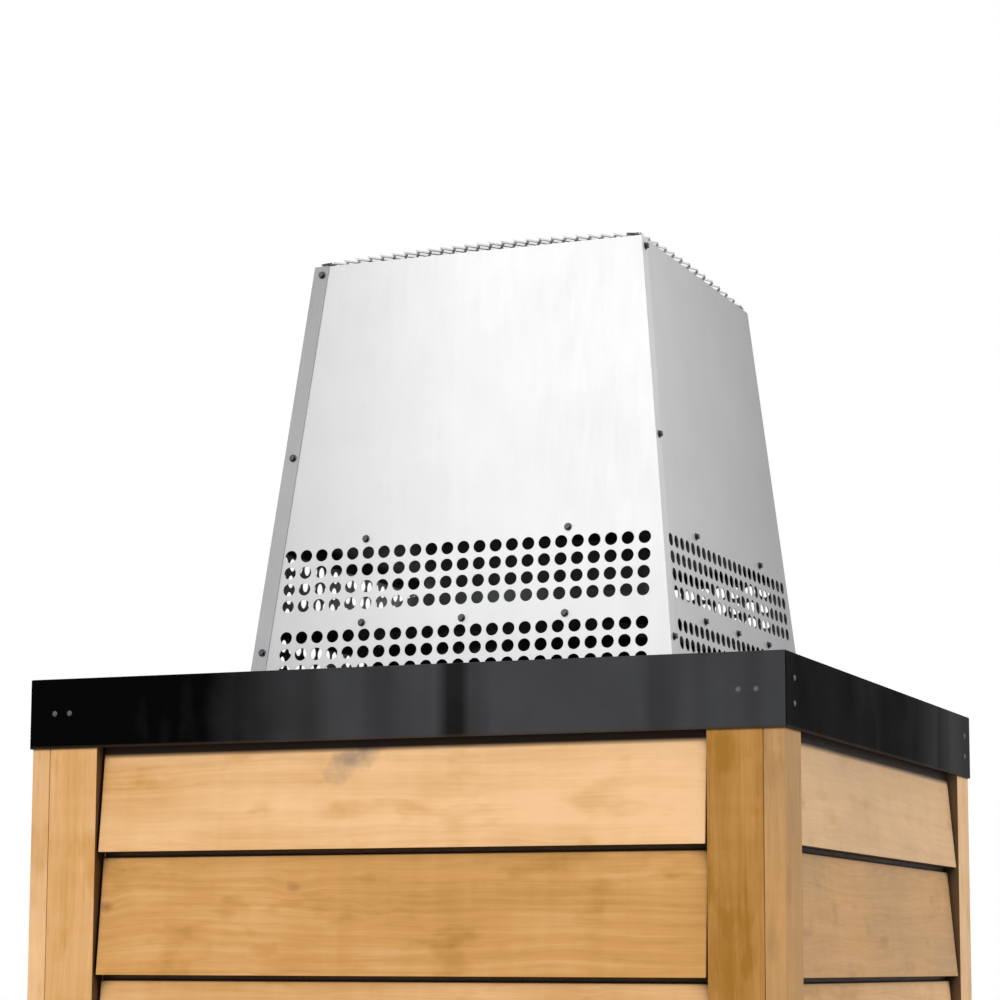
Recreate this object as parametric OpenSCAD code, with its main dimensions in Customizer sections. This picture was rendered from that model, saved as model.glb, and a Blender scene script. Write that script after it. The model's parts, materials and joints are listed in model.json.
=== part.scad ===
// Top of a timber chimney chase: lap siding on a stud frame, a sheet-metal chase cover,
// a three-wall air-cooled chimney and its perforated termination cap with a mesh top.
// Millimetres, +Z up, front towards -Y, origin at the middle of the underside.

/* [Chase frame] */
// Width of the stud frame, left to right
frame_w = 900; // [800:10:1100]
// Depth of the stud frame, front to back
frame_d = 850; // [780:10:1100]
// Thickness of the framing lumber
lumber_t = 38; // [32:1:48]
// Width of the framing lumber
lumber_w = 89; // [64:1:100]
// Thickness of the sheathing
sheathing_t = 12; // [9:1:18]

/* [Siding] */
// Height that each course of siding shows
siding_exposure = 150; // [130:5:170]
// Full height of one siding board
siding_w = 184; // [176:2:200]
// Thickness of a board at its lower edge, in front of the tongue of the board below
siding_butt_t = 18; // [14:0.5:19]
// Thickness of a board's face at the face's upper edge
siding_face_top_t = 9; // [6:0.5:12]
// Thickness of the tongue at a board's upper edge
siding_tongue_t = 4; // [3:0.5:5]
// Height of the shadow gap between a board's lower edge and the face below it
siding_reveal_h = 6; // [2:0.5:9]
// Clearance above a tongue in the rabbet of the board over it
siding_rabbet_gap = 1; // [0.5:0.5:3]
// Height of the lowest board's edge above the underside
siding_start = 10; // [6:1:30]
// Height of wall above the last full course
frieze_h = 65; // [50:5:120]
// Gap between a board's end and the corner boards
siding_end_gap = 2.5; // [1:0.5:4]
// Width of the corner boards
trim_w = 67; // [50:1:89]
// Thickness of the corner boards
trim_t = 25; // [24:1:32]
// Gap between the corner boards and the chase cover above them
trim_top_gap = 0.5; // [0.3:0.1:3]
// Height of the starter strips behind the lowest boards
starter_h = 30; // [15:1:30]

/* [Anchor holes] */
// Distance between the anchor holes, left to right
anchor_spacing = 700; // [400:10:720]
// Diameter of the anchor holes
anchor_d = 13; // [9:0.5:16]

/* [Chase cover] */
// Thickness of the cover's sheet
cover_t = 1; // [0.6:0.1:1.5]
// Height of the turned-down skirt
skirt_h = 87; // [60:1:120]
// Clearance between the corner boards and the skirt
skirt_gap = 2; // [1.5:0.5:5]
// Height of the hem folded up inside the skirt
hem_h = 10; // [6:1:15]
// Thickness of the folded hem
hem_t = 0.8; // [0.5:0.1:1]
// Height of the collar that stands on the cover around the chimney
collar_h = 40; // [30:1:44]
// Clearance between the chimney and that collar
collar_gap = 4; // [3:0.5:6]
// Width of the collar's foot flange
collar_flange_w = 14; // [8:1:18]
// Diameter of a rivet head
rivet_d = 7; // [5:0.5:9]
// Height of a rivet head
rivet_h = 1.2; // [0.8:0.1:2]
// Distance of the first rivet from the cover's corner
rivet_inset = 35; // [25:1:45]
// Distance between the two rivets of a corner on the front and back
rivet_pitch = 21; // [15:1:40]

/* [Chimney] */
// Outside diameter of the flue pipe
flue_d = 305; // [280:1:316]
// Outside diameter of the middle pipe
middle_d = 381; // [370:1:390]
// Outside diameter of the outer pipe
outer_d = 432; // [425:1:440]
// Wall of every pipe
pipe_wall = 0.6; // [0.5:0.1:1]
// Height of the pipes' lower ends above the underside
pipe_start = 20; // [10:1:40]
// Depth of the flue pipe's socket
socket_depth = 45; // [30:1:50]
// Radial clearance of the next flue pipe in the socket
socket_gap = 0.4; // [0.2:0.1:0.8]
// Height of the outer pipe's top above the cover
outer_top = 72; // [69:1:76]
// Height of the middle pipe's top above the cover
middle_top = 130; // [115:1:170]
// Height of the flue pipe's top above the cover
flue_top = 250; // [230:1:270]
// How far the chimney and the cap stand behind the middle of the chase
set_back = 25; // [0:1:30]
// Width of one spacer clip around the pipes, in degrees
spacer_angle = 9; // [6:1:14]
// Height of a spacer clip
spacer_h = 22; // [15:1:30]
// Height of the lower spacer clips above the underside
spacer_low = 90; // [80:1:120]
// Height of the upper spacer clips above the underside
spacer_high = 440; // [300:5:460]

/* [Firestop and storm collar] */
// Height of the ledgers' underside
ledger_z = 150; // [130:5:200]
// Thickness of the firestop plate
firestop_t = 1; // [0.8:0.1:1.5]
// Height of the firestop's collar
firestop_collar_h = 25; // [15:1:30]
// Radius that the storm collar reaches beyond the chimney
storm_reach = 30; // [24:1:34]
// Height of the storm collar's cone
storm_drop = 22; // [15:1:24]
// Height of the storm collar's band
storm_band_h = 10; // [8:1:11]
// Thickness of the storm collar's sheet
storm_t = 0.8; // [0.6:0.1:1]
// Distance from the storm collar's top to the outer pipe's top
storm_top_gap = 4; // [2:1:5]

/* [Termination hood] */
// Width of the square hood at its foot
hood_foot_w = 578; // [574:2:590]
// Width of the square hood at its top
hood_top_w = 458; // [450:2:500]
// Height of the hood
hood_h = 567; // [540:1:600]
// Thickness of the hood's sheet
sheet_t = 1; // [0.8:0.1:1.2]
// Width of the corner flange that laps over the next panel
seam_w = 21; // [18:1:26]
// Clearance between a corner flange and the panel under it
seam_gap = 0.1; // [0.05:0.05:0.3]
// Width of the ledge turned in at the top
ledge_w = 22; // [15:1:30]
// Clearance under the hood and around its foot brackets
foot_gap = 0.3; // [0.2:0.1:0.6]

/* [Hood holes] */
// Diameter of the air holes
hole_d = 16.5; // [12:0.5:18]
// Distance between air holes, across and up
hole_pitch = 22.1; // [21:0.1:22.5]
// Least distance from an outer air hole's middle to the panel's corner
hole_margin = 20; // [18:0.5:27]
// Rows in the lower band
lower_rows = 3; // [1:1:3]
// Rows in the upper band
upper_rows = 4; // [1:1:4]
// Height of the lowest row up the slope
first_row = 21; // [18:0.5:22]
// Distance between the two bands' nearest rows
band_spacing = 42; // [40:0.5:43]
// How far the columns stand to the side of the panel's middle
hole_shift = 4.4; // [0:0.2:6]

/* [Partitions] */
// Height of the lower partition above the cover
lower_partition_z = 90; // [89:0.5:92]
// Height of the upper partition above the cover
upper_partition_z = 200; // [198:1:210]
// Thickness of the partition plates
partition_t = 1; // [0.8:0.1:1.2]
// Height of a partition's turned-down flange
flange_h = 16; // [14:1:17]
// Height of the slip collars on the partitions
slip_h = 20; // [12:1:25]
// Width of a slip collar's foot flange
slip_flange_w = 10; // [6:1:12]
// Clearance between a slip collar and its pipe
slip_gap = 0.8; // [0.4:0.1:1.5]
// Clearance between a partition's flange and the panel
flange_gap = 0.1; // [0.05:0.05:0.3]

/* [Screws] */
// Diameter of a screw's shank
screw_d = 4; // [3:0.2:4.2]
// Length of a screw's shank
screw_l = 8; // [5:0.5:12]
// Diameter of the washer face under a screw's head
washer_d = 10; // [8:0.5:12]
// Thickness of the washer face
washer_t = 0.8; // [0.5:0.1:1.2]
// Width of the hexagon head across its corners
hex_d = 7.3; // [6:0.1:8]
// Height of the hexagon head
hex_h = 3.4; // [2.5:0.1:4]
// Distance between the partition screws along a panel
screw_pitch = 139; // [120:1:150]
// How far the partition screws stand to the side of the panel's middle
screw_shift = 6.5; // [0:0.5:10]
// Distance of the partition screws below their plate's top
screw_drop = 9; // [8:0.5:10]
// Distance of the seam screws from the corner
seam_inset = 12.5; // [10:0.5:14]
// Height of the lowest seam screw up the slope
seam_low = 47; // [44:0.5:50]
// Height of the middle seam screw up the slope
seam_mid = 307; // [260:1:340]
// Distance of the highest seam screw from the hood's top edge
seam_top_inset = 12; // [10:0.5:40]

/* [Rain baffle] */
// Diameter of the rain baffle
baffle_d = 370; // [350:2:390]
// Height of the baffle's rim above the cover
baffle_z = 400; // [380:5:430]
// Rise of the baffle from rim to middle
baffle_rise = 30; // [15:1:50]
// Thickness of the baffle's sheet
baffle_t = 1; // [0.8:0.1:1.5]
// Width of a baffle leg
leg_w = 25; // [15:1:30]
// Thickness of a baffle leg
leg_t = 3; // [2:0.5:4]
// Distance of the legs from the chimney's axis
leg_r = 168; // [166:1:172]

/* [Spark screen] */
// Distance from the screen's edge to the hood's edge
screen_inset = 3; // [2:0.5:6]
// Thickness of a strand
strand_d = 1.8; // [1.2:0.1:2.4]
// Width of a mesh opening along the front
mesh_w = 17.2; // [12:0.2:20]
// Length of a mesh opening, front to back
mesh_l = 32.8; // [20:0.4:40]
// Rise of the screen's edges between its corners
screen_rise = 10; // [6:0.5:14]
// Side of a square corner washer
clip_w = 20; // [14:1:24]
// Thickness of a corner washer
clip_t = 1.5; // [1:0.1:2]

/* [Hidden] */
$fn = 96;
eps = 0.02;
// Curves as flat as the screen's strands need finer steps.
strand_fn = 720;
// Steps around one thin strand.
strand_sides = 16;

SIDES = ["front", "right", "back", "left"];
ENDS = ["left", "right"];
COURSES = ["lower", "middle", "upper"];
side_numbers = [0:3];

function plate_name(level, s) = str(SIDES[s], "_", level, "_plate");
function stud_name(s, e) = str(SIDES[s], "_", ENDS[e], "_stud");
function sheathing_name(s) = str(SIDES[s], "_sheathing");
function siding_name(s, c) = str(SIDES[s], "_siding_", COURSES[c]);
function trim_name(s, e) = str(SIDES[s], "_corner_board_", ENDS[e]);
function panel_name(s) = str(SIDES[s], "_hood_panel");

// Chase.
course_count = len(COURSES);
chase_h = siding_start + course_count * siding_exposure + frieze_h;
rim_z = chase_h + cover_t;
cover_margin = sheathing_t + trim_t + skirt_gap + cover_t;
cover_w = frame_w + 2 * cover_margin;
cover_d = frame_d + 2 * cover_margin;
// A course's lower edge stands this far out from the sheathing.
siding_out = siding_tongue_t + siding_butt_t;
rabbet_h = siding_w - siding_exposure + siding_rabbet_gap;

// Chimney.
flue_r = flue_d / 2;
middle_r = middle_d / 2;
outer_r = outer_d / 2;
socket_r = flue_r + socket_gap;
contact_gap = 0.1;
collar_r = outer_r + collar_gap;
grip_r = outer_r + contact_gap;

// Hood.
lean = atan((hood_foot_w - hood_top_w) / 2 / hood_h);
slope_h = hood_h / cos(lean);
hood_z = rim_z + foot_gap;
ledge_drop = sheet_t * sin(lean);
ledge_z = hood_z + hood_h - ledge_drop;
upper_row = first_row + (lower_rows - 1) * hole_pitch + band_spacing;
last_row = upper_row + (upper_rows - 1) * hole_pitch;
// Columns of air holes on each side of the middle one.
side_columns = floor((slope_half(last_row) - hole_margin) / hole_pitch);
screw_clearance = 0.2;

// Half the hood's outer width at a height above its foot, and at a length up its slope.
function hood_half(z) = hood_foot_w / 2 - z * tan(lean);
function slope_half(u) = hood_foot_w / 2 - u * sin(lean);

function wall_length(s) = s % 2 == 0 ? frame_w : frame_d;
function wall_out(s) = (s % 2 == 0 ? frame_d : frame_w) / 2;
// The corner boards of the two side walls lap over the front and back boards' ends.
function trim_half(s) = wall_length(s) / 2 + sheathing_t + (s % 2 == 0 ? 0 : trim_t);
function siding_half(s) = trim_half(s) - trim_w - siding_end_gap;

// Local frame of a chase wall: X along the wall, Y inwards from the frame's face, Z up.
module at_wall(s) {
    rotate([0, 0, 90 * s])
        translate([0, -wall_out(s), 0])
            children();
}

// Local frame of a hood face: X across, Y up the slope, Z outwards from the outer face.
module at_face(s) {
    translate([0, set_back, hood_z])
        rotate([0, 0, 90 * s])
            translate([0, -hood_foot_w / 2, 0])
                rotate([90 - lean, 0, 0])
                    children();
}

module on_chimney(z) {
    translate([0, set_back, z])
        children();
}

module ring(r_in, r_out, h) {
    difference() {
        cylinder(r = r_out, h = h);
        translate([0, 0, -eps])
            cylinder(r = r_in, h = h + 2 * eps);
    }
}

// Framing ------------------------------------------------------------------

function plate_length(s) = s % 2 == 0 ? frame_w : frame_d - 2 * lumber_w;

module wall_plate(s, z) {
    at_wall(s)
        translate([-plate_length(s) / 2, 0, z])
            cube([plate_length(s), lumber_w, lumber_t]);
}

module bottom_plate(s) {
    color("burlywood")
        difference() {
            wall_plate(s, 0);
            if (s % 2 == 0)
                at_wall(s)
                    for (side = [-1, 1])
                        translate([side * anchor_spacing / 2, lumber_w / 2, -eps])
                            cylinder(d = anchor_d, h = lumber_t + 2 * eps);
        }
}

module top_plate(s) {
    color("burlywood")
        wall_plate(s, chase_h - lumber_t);
}

module corner_stud(s, e) {
    x = e == 0 ? -frame_w / 2 : frame_w / 2 - lumber_t;
    color("burlywood")
        at_wall(s)
            translate([x, 0, lumber_t])
                cube([lumber_t, lumber_w, chase_h - 2 * lumber_t]);
}

module sheathing(s) {
    length = wall_length(s) + (s % 2 == 0 ? 2 * sheathing_t : 0);
    color("tan")
        at_wall(s)
            translate([-length / 2, -sheathing_t, 0])
                cube([length, sheathing_t, chase_h]);
}

// One on each side wall, between the corner studs.
module firestop_ledgers() {
    length = frame_d - 2 * lumber_w;
    color("burlywood")
        for (s = [1, 3])
            at_wall(s)
                translate([-length / 2, 0, ledger_z])
                    cube([length, lumber_t, lumber_t]);
}

// Cladding -----------------------------------------------------------------

module starter_strips() {
    color("peru")
        for (s = side_numbers)
            at_wall(s)
                translate([-siding_half(s), -sheathing_t - siding_tongue_t, siding_start])
                    cube([2 * siding_half(s), siding_tongue_t, starter_h]);
}

// A tapered board: the rabbet behind its lower edge fits over the tongue of the board
// below and leaves a shadow gap over that board's face.
module siding_board(s, c) {
    face_h = siding_exposure - siding_reveal_h;
    section = [
        [-siding_tongue_t, 0],
        [-siding_out, 0],
        [-siding_face_top_t, face_h],
        [-siding_tongue_t, face_h],
        [-siding_tongue_t, siding_w],
        [0, siding_w],
        [0, rabbet_h],
        [-siding_tongue_t, rabbet_h]
    ];
    color("sandybrown")
        at_wall(s)
            translate([0, -sheathing_t, siding_start + c * siding_exposure])
                rotate([90, 0, 90])
                    linear_extrude(height = 2 * siding_half(s), center = true)
                        polygon(section);
}

module corner_board(s, e) {
    x = e == 0 ? -trim_half(s) : trim_half(s) - trim_w;
    color("goldenrod")
        at_wall(s)
            translate([x, -sheathing_t - trim_t, siding_start])
                cube([trim_w, trim_t, chase_h - siding_start - trim_top_gap]);
}

// Chase cover --------------------------------------------------------------

module square_tube(w, d, wall, h) {
    difference() {
        translate([-w / 2, -d / 2, 0])
            cube([w, d, h]);
        translate([-w / 2 + wall, -d / 2 + wall, -eps])
            cube([w - 2 * wall, d - 2 * wall, h + 2 * eps]);
    }
}

module chase_cover() {
    color([0.12, 0.12, 0.13])
        difference() {
            union() {
                translate([-cover_w / 2, -cover_d / 2, chase_h])
                    cube([cover_w, cover_d, cover_t]);
                translate([0, 0, rim_z - skirt_h])
                    square_tube(cover_w, cover_d, cover_t, skirt_h);
                translate([0, 0, rim_z - skirt_h])
                    square_tube(cover_w - cover_t, cover_d - cover_t, cover_t / 2 + hem_t, hem_h);
            }
            on_chimney(chase_h - eps)
                cylinder(r = collar_r, h = cover_t + 2 * eps);
        }
}

// A ring with a flange around its foot.
module flanged_collar(r, wall, h, flange_w) {
    ring(r, r + wall, h);
    ring(r, r + wall + flange_w, wall);
}

module cover_collar() {
    color([0.12, 0.12, 0.13])
        on_chimney(rim_z)
            flanged_collar(collar_r, cover_t, collar_h, collar_flange_w);
}

module rivet() {
    cylinder(d1 = rivet_d, d2 = rivet_d / 2, h = rivet_h);
}

// Two rivets at each end of each skirt: side by side on front and back, one above the
// other on the sides.
module cover_rivets() {
    color([0.3, 0.3, 0.32])
        for (s = side_numbers, end = [-1, 1], i = [0, 1]) {
            across = s % 2 == 0;
            half = (across ? cover_w : cover_d) / 2;
            out = (across ? cover_d : cover_w) / 2;
            x = half - rivet_inset - (across ? i * rivet_pitch : 0);
            z = rim_z - skirt_h * (across ? 1 / 2 : (i + 1) / 3);
            rotate([0, 0, 90 * s])
                translate([end * x, -out, z])
                    rotate([90, 0, 0])
                        rivet();
        }
}

// Chimney ------------------------------------------------------------------

module pipe(r, top) {
    on_chimney(pipe_start)
        ring(r - pipe_wall, r, rim_z + top - pipe_start);
}

module outer_pipe() {
    color("lightgray")
        pipe(outer_r, outer_top);
}

module middle_pipe() {
    color("silver")
        pipe(middle_r, middle_top);
}

// The flue pipe's lower end is belled out to take the next pipe.
module flue_pipe() {
    bell = socket_r + pipe_wall - flue_r;
    length = rim_z + flue_top - pipe_start;
    section = [
        [socket_r, 0],
        [socket_r + pipe_wall, 0],
        [socket_r + pipe_wall, socket_depth],
        [flue_r, socket_depth + bell],
        [flue_r, length],
        [flue_r - pipe_wall, length],
        [flue_r - pipe_wall, socket_depth + bell],
        [socket_r, socket_depth]
    ];
    color("gainsboro")
        on_chimney(pipe_start)
            rotate_extrude()
                polygon(section);
}

// One clip: a foot on the inner pipe, a foot on the outer pipe and a web between them.
module spacer_clip(r_in, r_out) {
    foot_t = 1;
    rotate([0, 0, -spacer_angle / 2]) {
        rotate_extrude(angle = spacer_angle)
            translate([r_in, 0])
                square([foot_t, spacer_h]);
        rotate_extrude(angle = spacer_angle)
            translate([r_out - foot_t, 0])
                square([foot_t, spacer_h]);
    }
    translate([r_in + foot_t / 2, -foot_t / 2, 0])
        cube([r_out - r_in - foot_t, foot_t, spacer_h]);
}

module pipe_spacers() {
    color("darkgray")
        for (z = [spacer_low, spacer_high], turn = [0:90:270])
            on_chimney(z)
                rotate([0, 0, turn]) {
                    spacer_clip(flue_r + contact_gap, middle_r - pipe_wall - contact_gap);
                    spacer_clip(middle_r + contact_gap, outer_r - pipe_wall - contact_gap);
                }
}

module storm_collar() {
    top = outer_top - storm_top_gap;
    band_foot = top - storm_band_h;
    section = [
        [grip_r, top],
        [grip_r, band_foot],
        [outer_r + storm_reach, band_foot - storm_drop],
        [outer_r + storm_reach + storm_t / 2, band_foot - storm_drop + storm_t],
        [grip_r + storm_t, band_foot + storm_t],
        [grip_r + storm_t, top]
    ];
    color([0.16, 0.16, 0.17])
        on_chimney(rim_z)
            rotate_extrude()
                polygon(section);
}

// The firestop plate lies on the two ledgers.
module firestop_plate() {
    w = frame_w - 2 * foot_gap;
    d = frame_d - 2 * lumber_w - 2 * foot_gap;
    color("lightsteelblue")
        difference() {
            translate([-w / 2, -d / 2, ledger_z + lumber_t])
                cube([w, d, firestop_t]);
            on_chimney(ledger_z + lumber_t - eps)
                cylinder(r = grip_r, h = firestop_t + 2 * eps);
        }
}

// It stands on the firestop plate and grips the outer pipe.
module firestop_collar() {
    color("lightsteelblue")
        on_chimney(ledger_z + lumber_t + firestop_t)
            flanged_collar(grip_r, firestop_t, firestop_collar_h, collar_flange_w);
}

// Hood ---------------------------------------------------------------------

// Angle brackets on the cover that the hood's foot slips over.
module foot_brackets() {
    bracket_w = 30;
    bracket_h = 20;
    bracket_t = 1.5;
    upright = hood_half(bracket_h) - sheet_t / cos(lean) - foot_gap;
    color("silver")
        on_chimney(rim_z)
            for (s = side_numbers)
                rotate([0, 0, 90 * s]) {
                    translate([-bracket_w / 2, -upright, 0])
                        cube([bracket_w, bracket_t, bracket_h]);
                    translate([-bracket_w / 2, -upright, 0])
                        cube([bracket_w, bracket_h, bracket_t]);
                }
}

module hole_band(first, rows) {
    for (column = [-side_columns:side_columns], row = [0:rows - 1])
        translate([hole_shift + column * hole_pitch, first + row * hole_pitch])
            circle(d = hole_d);
}

function seam_rows() = [seam_low, seam_mid, slope_h - seam_top_inset];
// Where the partition screws go on a panel: [across, up the slope].
function partition_screws() = concat(
    [for (i = [-1, 0, 1])
        [screw_shift + i * screw_pitch, (lower_partition_z - screw_drop) / cos(lean)]],
    [for (i = [-1, 1])
        [screw_shift + i * screw_pitch, (upper_partition_z - screw_drop) / cos(lean)]]
);
function seam_screws() = [for (u = seam_rows()) [seam_inset - slope_half(u), u]];

module screw_holes(places) {
    for (p = places)
        translate(p)
            circle(d = screw_d + screw_clearance);
}

// Outline of a panel from its left end, under the next panel's flange, to its right corner.
module panel_outline() {
    left = sheet_t + seam_gap + foot_gap;
    right = seam_gap + sheet_t / 2;
    polygon([
        [left - slope_half(0), 0],
        [slope_half(0) + right, 0],
        [slope_half(slope_h) + right, slope_h],
        [left - slope_half(slope_h), slope_h]
    ]);
}

module corner_flange() {
    difference() {
        polygon([
            [-slope_half(0), 0],
            [seam_w - slope_half(0), 0],
            [seam_w - slope_half(slope_h), slope_h],
            [-slope_half(slope_h), slope_h]
        ]);
        screw_holes(seam_screws());
    }
}

module top_ledge() {
    outer = hood_top_w / 2;
    mitre_gap = 0.5;
    rim = outer - sheet_t / 2;
    inner = outer - ledge_w;
    linear_extrude(height = sheet_t)
        polygon([
            [-rim + 2 * sheet_t, -rim],
            [rim - 2 * sheet_t, -rim],
            [inner - mitre_gap, -inner],
            [mitre_gap - inner, -inner]
        ]);
}

module hood_panel(s) {
    color([0.86, 0.87, 0.88]) {
        at_face(s)
            translate([0, 0, -sheet_t])
                linear_extrude(height = sheet_t)
                    difference() {
                        panel_outline();
                        hole_band(first_row, lower_rows);
                        hole_band(upper_row, upper_rows);
                        screw_holes(partition_screws());
                        screw_holes(seam_screws());
                    }
        at_face(s + 1)
            translate([0, 0, seam_gap])
                linear_extrude(height = sheet_t)
                    corner_flange();
        on_chimney(ledge_z - sheet_t)
            rotate([0, 0, 90 * s])
                top_ledge();
    }
}

// A plate across the hood with a flange turned down along each panel.
module partition(z, r) {
    half = hood_half(z) - sheet_t / cos(lean) - flange_gap - partition_t / 2;
    corner_relief = 8;
    u = z / cos(lean);
    strip = slope_half(u) - corner_relief;
    difference() {
        union() {
            on_chimney(hood_z + z - partition_t)
                translate([-half, -half, 0])
                    cube([2 * half, 2 * half, partition_t]);
            for (s = side_numbers)
                at_face(s)
                    translate([-strip, u - flange_h, -sheet_t - flange_gap - partition_t])
                        cube([2 * strip, flange_h, partition_t]);
        }
        on_chimney(hood_z + z - 2 * partition_t)
            cylinder(r = r + slip_gap, h = 3 * partition_t);
        for (s = side_numbers, p = partition_screws())
            at_face(s)
                translate([p[0], p[1], -screw_l])
                    cylinder(d = screw_d + screw_clearance, h = screw_l);
    }
}

module lower_partition() {
    color("silver")
        partition(lower_partition_z, middle_r);
}

module upper_partition() {
    color("silver")
        partition(upper_partition_z, flue_r);
}

// A collar on each partition slides along the pipe that passes through it.
module slip_collars() {
    color("gainsboro")
        for (seat = [[lower_partition_z, middle_r], [upper_partition_z, flue_r]])
            on_chimney(hood_z + seat[0])
                flanged_collar(seat[1] + slip_gap, partition_t, slip_h, slip_flange_w);
}

// A shallow cone over the flue on four legs that stand on the upper partition.
module rain_baffle() {
    foot = hood_z + upper_partition_z;
    rim = hood_z + baffle_z;
    leg_rise = baffle_rise * (1 - 2 * leg_r / baffle_d);
    color([0.75, 0.76, 0.78]) {
        on_chimney(rim)
            rotate_extrude()
                polygon([
                    [0, baffle_rise],
                    [baffle_d / 2, 0],
                    [baffle_d / 2, baffle_t],
                    [0, baffle_rise + baffle_t]
                ]);
        on_chimney(foot)
            for (turn = [45:90:315])
                rotate([0, 0, turn]) {
                    translate([leg_r, -leg_w / 2, 0])
                        cube([leg_t, leg_w, rim - foot + leg_rise + baffle_t / 2]);
                    translate([leg_r, -leg_w / 2, 0])
                        cube([leg_w, leg_w, leg_t / 2]);
                }
    }
}

// A sheet-metal screw, its head standing on Z = 0.
module screw() {
    cylinder(d = washer_d, h = washer_t);
    cylinder(d = hex_d, h = washer_t + hex_h, $fn = 6);
    translate([0, 0, -screw_l])
        cylinder(d = screw_d, h = screw_l + eps);
}

module hood_screws() {
    color([0.35, 0.36, 0.38])
        for (s = side_numbers) {
            for (p = partition_screws())
                at_face(s)
                    translate([p[0], p[1], 0])
                        screw();
            for (p = seam_screws())
                at_face(s)
                    translate([p[0], p[1], seam_gap + sheet_t])
                        screw();
        }
}

// Spark screen -------------------------------------------------------------

screen_half = hood_top_w / 2 - screen_inset;
// Every upright cut through the dome is the same arc, so each strand is one arc.
dome_r = screen_half * screen_half / (2 * screen_rise);
dome_top = ledge_z + foot_gap + strand_d / 2 + 2 * screen_rise;
mesh_angle = atan(mesh_w / mesh_l);
strand_step = mesh_w * cos(mesh_angle);
// The arcs stray from a true parabola by less than this.
layer_gap = 0.1;
layer_step = strand_d + layer_gap;
shortest_strand = 2 * mesh_w;

// Where a straight line over the square screen starts and ends. The line runs along
// [dx, dy] and passes the middle at the distance o.
function crossing(o, dx, dy) = let (
    a = screen_half,
    x = [(-a - dy * o) / dx, (a - dy * o) / dx],
    y = [(-a + dx * o) / dy, (a + dx * o) / dy]
) [max(min(x), min(y)), min(max(x), max(y))];

module strand(o, angle) {
    ends = crossing(o, sin(angle), cos(angle));
    if (ends[1] - ends[0] > shortest_strand) {
        first = 90 - asin(ends[1] / dome_r);
        last = 90 - asin(ends[0] / dome_r);
        rotate([0, 0, 90 - angle])
            translate([0, -o, -o * o / (2 * dome_r) - dome_r])
                rotate([90, 0, 0])
                    rotate([0, 0, first])
                        rotate_extrude(angle = last - first, $fn = strand_fn)
                            translate([dome_r, 0])
                                circle(d = strand_d, $fn = strand_sides);
    }
}

module spark_screen() {
    reach = ceil(screen_half * (sin(mesh_angle) + cos(mesh_angle)) / strand_step);
    color([0.7, 0.71, 0.73])
        for (layer = [0, 1], i = [-reach:reach])
            on_chimney(dome_top + layer * layer_step)
                strand(i * strand_step, layer == 0 ? mesh_angle : -mesh_angle);
}

// A square washer and a screw hold the mesh at each corner and lie along its slope.
module screen_clips() {
    corner = screen_half - clip_w / 2;
    drop = corner * corner / dome_r;
    slope = atan(sqrt(2) * corner / dome_r);
    z = dome_top - drop + strand_d / 2 + layer_step + foot_gap;
    color([0.35, 0.36, 0.38])
        for (x = [-1, 1], y = [-1, 1])
            on_chimney(z)
                translate([x * corner, y * corner, 0])
                    rotate(slope, [-y, x, 0]) {
                        translate([-clip_w / 2, -clip_w / 2, 0])
                            cube([clip_w, clip_w, clip_t]);
                        translate([0, 0, clip_t - eps])
                            cylinder(d = hex_d, h = hex_h, $fn = 6);
                    }
}

for (s = side_numbers) {
    bottom_plate(s);
    top_plate(s);
    sheathing(s);
    hood_panel(s);
    for (c = [0:course_count - 1])
        siding_board(s, c);
    for (e = [0, 1])
        corner_board(s, e);
}
for (s = [0, 2], e = [0, 1])
    corner_stud(s, e);
starter_strips();
firestop_ledgers();
firestop_plate();
firestop_collar();
chase_cover();
cover_collar();
cover_rivets();
storm_collar();
outer_pipe();
middle_pipe();
flue_pipe();
pipe_spacers();
foot_brackets();
lower_partition();
upper_partition();
slip_collars();
rain_baffle();
hood_screws();
spark_screen();
screen_clips();
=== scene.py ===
"""Looks of a timber chimney chase with a sheet-metal cover and a perforated cap."""
import json
import math
import random

import bmesh
import bpy
from mathutils import Matrix, Vector


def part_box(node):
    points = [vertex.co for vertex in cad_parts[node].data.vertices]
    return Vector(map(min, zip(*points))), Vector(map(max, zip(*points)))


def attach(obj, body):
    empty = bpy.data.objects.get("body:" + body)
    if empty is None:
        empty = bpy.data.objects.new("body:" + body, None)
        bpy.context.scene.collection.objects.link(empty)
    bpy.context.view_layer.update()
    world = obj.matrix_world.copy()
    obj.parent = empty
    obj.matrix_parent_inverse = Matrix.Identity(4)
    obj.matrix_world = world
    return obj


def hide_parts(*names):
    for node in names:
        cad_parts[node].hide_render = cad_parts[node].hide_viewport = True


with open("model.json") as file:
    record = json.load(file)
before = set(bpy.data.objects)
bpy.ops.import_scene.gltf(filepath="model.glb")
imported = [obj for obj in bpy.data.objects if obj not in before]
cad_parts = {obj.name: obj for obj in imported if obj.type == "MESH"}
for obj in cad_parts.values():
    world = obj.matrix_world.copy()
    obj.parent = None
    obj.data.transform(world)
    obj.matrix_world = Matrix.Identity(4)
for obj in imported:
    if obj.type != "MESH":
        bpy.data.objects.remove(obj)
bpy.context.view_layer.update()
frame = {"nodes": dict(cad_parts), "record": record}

bl_info = {
    "name": "Chimney Chase Looks",
    "version": (1, 0, 0),
    "blender": (4, 5, 0),
    "location": "View3D > Sidebar > Chase",
    "description": "Finishes, mesh top and studio for a chimney chase and its cap",
    "category": "Object",
}

NODE_BODY = {
    name: body
    for body, names in frame["record"]["behaviour"]["bodies"].items()
    for name in names
}
NODE_SLOT = {row["node"]: row["material_slot"] for row in frame["record"]["subparts"]}
COVER_LOW, COVER_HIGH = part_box("chase_cover")
# Faces that turn further than this from each other meet in a sharp edge.
SHARP_ANGLE = math.radians(17)
# Faces that turn less than this from each other are one flat face.
FLAT_ANGLE = math.radians(0.5)
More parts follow.
